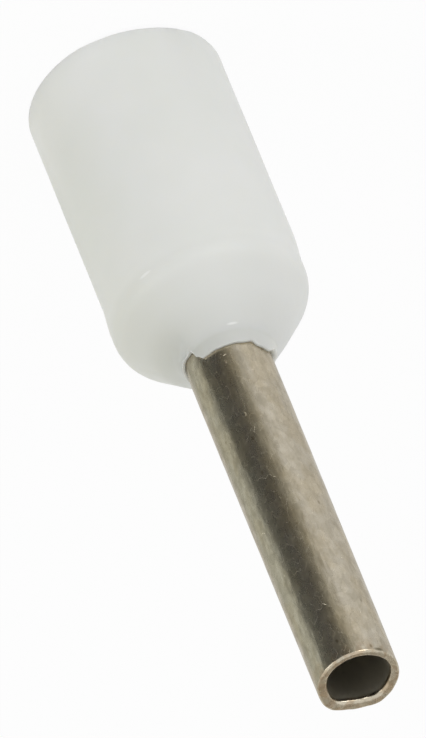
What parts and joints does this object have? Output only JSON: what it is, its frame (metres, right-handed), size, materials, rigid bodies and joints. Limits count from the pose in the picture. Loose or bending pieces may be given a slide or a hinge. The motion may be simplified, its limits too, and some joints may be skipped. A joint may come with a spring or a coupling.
{
  "type": "insulated wire ferrule",
  "caption": "Crimp ferrule for a stranded wire's end: a plain tinned copper tube whose flared end sits in the nose of a white moulded plastic collar.",
  "frame": {"origin": "centre of the collar's mouth rim, in the plane that it stands on", "axes": "+Z along the ferrule's axis, from the collar's mouth to the barrel's tip. The part is round, so X and Y are any two square axes"},
  "size_m": [0.0032, 0.003, 0.012],
  "materials": {
    "tinned_copper": "dull tin plating over copper, satin",
    "collar_plastic": "slightly translucent white, satin"
  },
  "bodies": {
    "root": {"barrel": "tinned_copper", "collar": "collar_plastic"}
  },
  "joints": []
}
